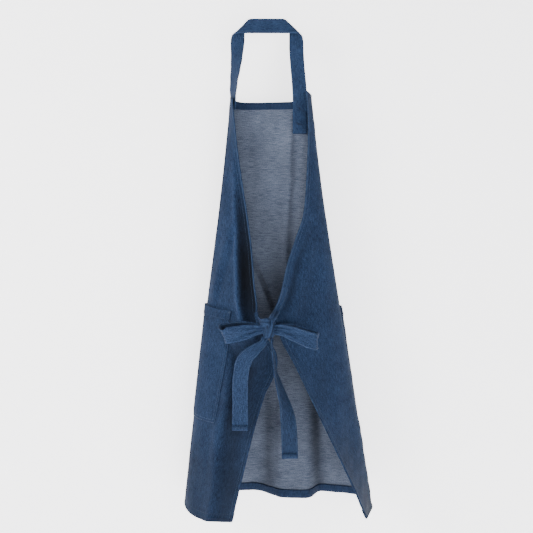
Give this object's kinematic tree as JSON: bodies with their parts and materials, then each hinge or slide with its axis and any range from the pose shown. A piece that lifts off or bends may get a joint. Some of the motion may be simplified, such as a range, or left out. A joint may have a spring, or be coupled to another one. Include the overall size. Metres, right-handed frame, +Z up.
{
  "type": "artist smock apron",
  "caption": "Long denim wrap apron with a neck strap, turned hems, side patch pockets and waist ties in a bow at the open back.",
  "frame": {"origin": "middle of the neck strap's top edge, halfway between the strap's front band and its legs, where the strap hangs", "axes": "+Z up, +Y out of the front of the apron, away from the wearer, +X to the wearer's right as worn"},
  "size_m": [0.4292, 0.1986, 1.1235],
  "materials": {
    "denim_outside": "matte",
    "denim_inside": "matte",
    "hem": "matte",
    "tie": "matte"
  },
  "bodies": {
    "apron_body": {"front_panel": "denim_inside", "left_side_panel": "denim_outside", "right_side_panel": "denim_outside", "bib_top_hem": "hem", "front_hem": "hem", "left_side_hem": "hem", "right_side_hem": "hem", "left_armhole_hem": "hem", "right_armhole_hem": "hem", "left_back_hem": "hem", "right_back_hem": "hem", "left_pocket": "denim_outside", "right_pocket": "denim_outside", "left_pocket_hem": "hem", "right_pocket_hem": "hem", "neck_strap": "tie", "strap_end_hem": "hem", "left_waist_tie": "tie", "right_waist_tie": "tie", "bow_knot": "tie"},
    "left_loop": {"left_bow_loop": "tie"},
    "right_loop": {"right_bow_loop": "tie"},
    "left_tail": {"left_tie_tail": "tie", "left_tail_hem": "hem"},
    "right_tail": {"right_tie_tail": "tie", "right_tail_hem": "hem"}
  },
  "joints": [
    {"name": "left_tail_swing", "type": "hinge", "parent": "apron_body", "child": "left_tail", "pos_m": [-0.003, -0.11767, -0.724], "axis": [-1, 0, 0], "range_deg": [0, 70]},
    {"name": "right_tail_swing", "type": "hinge", "parent": "apron_body", "child": "right_tail", "pos_m": [0.011, -0.11792, -0.724], "axis": [-1, 0, 0], "range_deg": [0, 70]},
    {"name": "left_loop_swing", "type": "hinge", "parent": "apron_body", "child": "left_loop", "pos_m": [0.003, -0.1091, -0.70336], "axis": [0, 0, 1], "range_deg": [0, 30]},
    {"name": "right_loop_swing", "type": "hinge", "parent": "apron_body", "child": "right_loop", "pos_m": [0.003, -0.1091, -0.70336], "axis": [0, 0, -1], "range_deg": [0, 30]}
  ]
}
